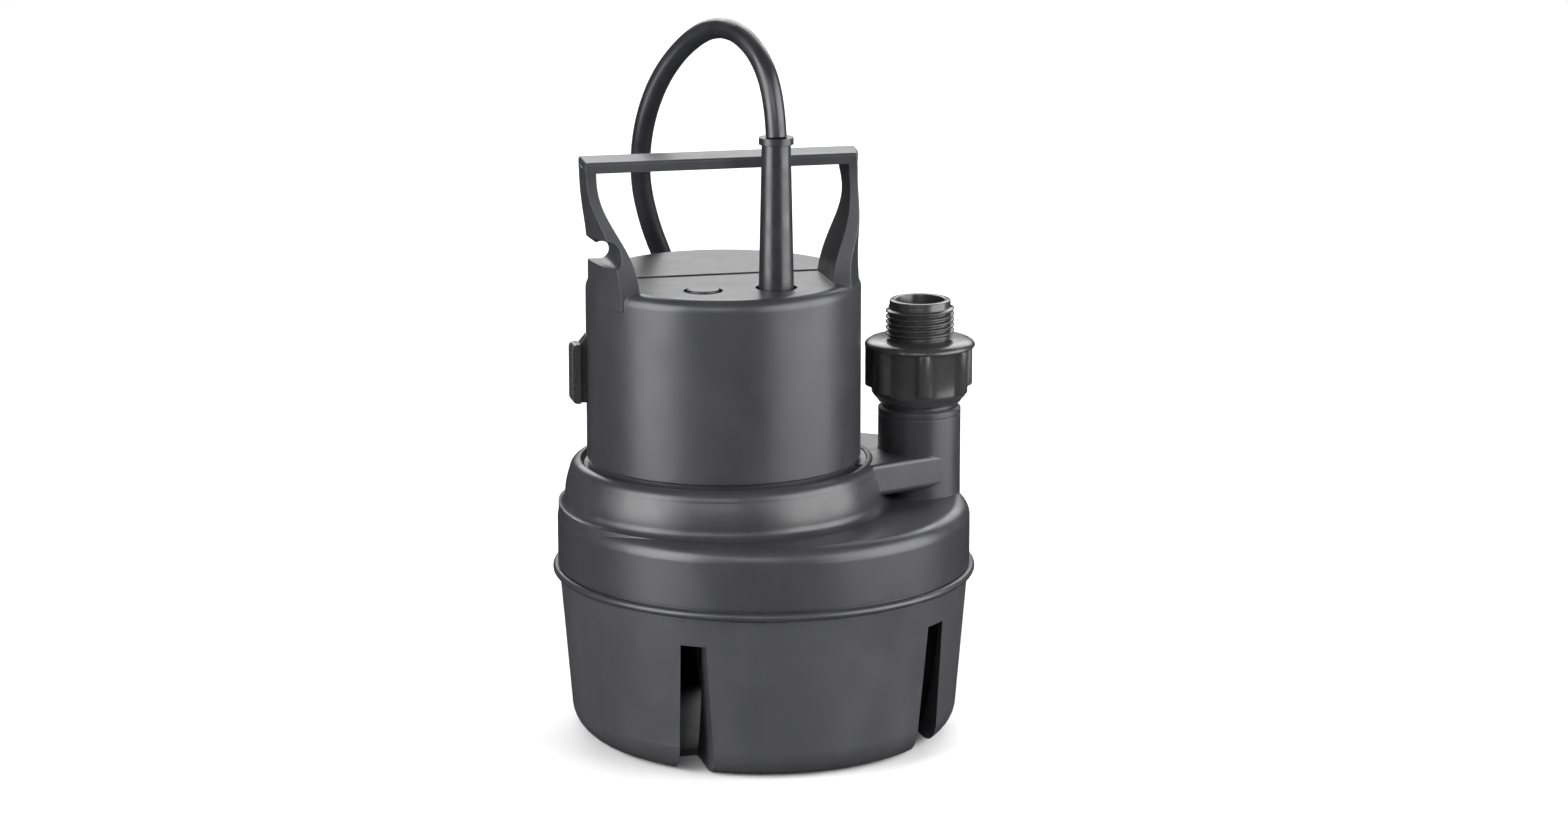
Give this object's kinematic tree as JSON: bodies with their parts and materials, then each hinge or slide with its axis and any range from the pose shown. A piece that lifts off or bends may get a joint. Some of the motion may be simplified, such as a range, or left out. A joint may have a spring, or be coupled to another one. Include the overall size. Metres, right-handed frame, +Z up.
{
  "type": "submersible sump pump",
  "caption": "Submersible sump pump: matte clamshell housing over a sealed motor, slotted strainer base, carry handle, side outlet with a garden-hose adapter, power cord.",
  "frame": {"origin": "centre of the strainer base, on the surface it stands on", "axes": "+Z up; +X along the housing's seam plane towards the outlet; the handle's side, the front, faces -Y"},
  "size_m": [0.1921, 0.3007, 0.282],
  "materials": {
    "housing_plastic": "moulded charcoal thermoplastic with a fine matte grain",
    "adapter_plastic": "moulded black plastic, semi-gloss",
    "inner_plastic": "glass-filled nylon, moulded",
    "screw_steel": "stainless steel",
    "brass": "bright brass",
    "bronze": "oil-filled sintered bronze",
    "seal_rubber": "nitrile rubber",
    "ceramic": "polished alumina",
    "carbon": "lapped carbon",
    "lamination_steel": "stacked electrical steel",
    "copper_winding": "enamelled copper wire, varnished",
    "cast_aluminium": "die-cast aluminium",
    "washer_plastic": "acetal",
    "capacitor_case": "metallised film capacitor in a plastic can",
    "protector_case": "phenolic case",
    "lead_insulation": "PVC insulated leads",
    "cord_jacket": "black rubber jacket, smooth with a soft sheen",
    "tie_nylon": "nylon tie"
  },
  "bodies": {
    "root": {"front_shell": "housing_plastic", "rear_shell": "housing_plastic", "strainer_base": "housing_plastic", "blanking_plug": "housing_plastic", "float_clip": "adapter_plastic", "volute_casing": "inner_plastic", "suction_cover": "inner_plastic", "end_bell": "inner_plastic", "upper_bracket": "inner_plastic", "shell_screws": "screw_steel", "cover_screws": "screw_steel", "end_bell_screws": "screw_steel", "capacitor_clip": "screw_steel", "motor_can": "screw_steel", "plug_blades": "brass", "ground_pin": "brass", "lower_bearing": "bronze", "upper_bearing": "bronze", "cover_o_ring": "seal_rubber", "can_o_ring": "seal_rubber", "seat_cup": "seal_rubber", "cord_gland": "seal_rubber", "seal_seat": "ceramic", "stator_core": "lamination_steel", "stator_windings": "copper_winding", "run_capacitor": "capacitor_case", "thermal_protector": "protector_case", "motor_leads": "lead_insulation", "power_cord": "cord_jacket", "cord_tail": "cord_jacket", "cord_coil": "cord_jacket", "strain_relief": "cord_jacket", "plug_body": "cord_jacket", "cord_tie": "tie_nylon"},
    "rotor": {"shaft": "screw_steel", "rotor_core": "lamination_steel", "rotor_end_rings": "cast_aluminium", "thrust_washers": "washer_plastic", "impeller": "inner_plastic", "impeller_nut": "brass", "seal_head": "carbon", "seal_bellows": "seal_rubber", "seal_spring": "screw_steel"},
    "washer": {"adapter_washer": "seal_rubber"},
    "adapter": {"hose_adapter": "adapter_plastic"}
  },
  "joints": [
    {"name": "rotor_spin", "type": "hinge", "parent": "root", "child": "rotor", "pos_m": [-0.016, 0, 0.13], "axis": [0, 0, 1], "continuous": true},
    {"name": "adapter_lift", "type": "slide", "parent": "root", "child": "washer", "axis": [0, 0, 1], "range_m": [0, 0.0112]},
    {"name": "adapter_turn", "type": "hinge", "parent": "washer", "child": "adapter", "pos_m": [0.063, 0, 0.15], "axis": [0, 0, 1], "range_deg": [0, 1800]}
  ],
  "couplings": [
    {"joint": "adapter_lift", "follows": "adapter_turn", "m_per_rad": 0.00035157}
  ]
}
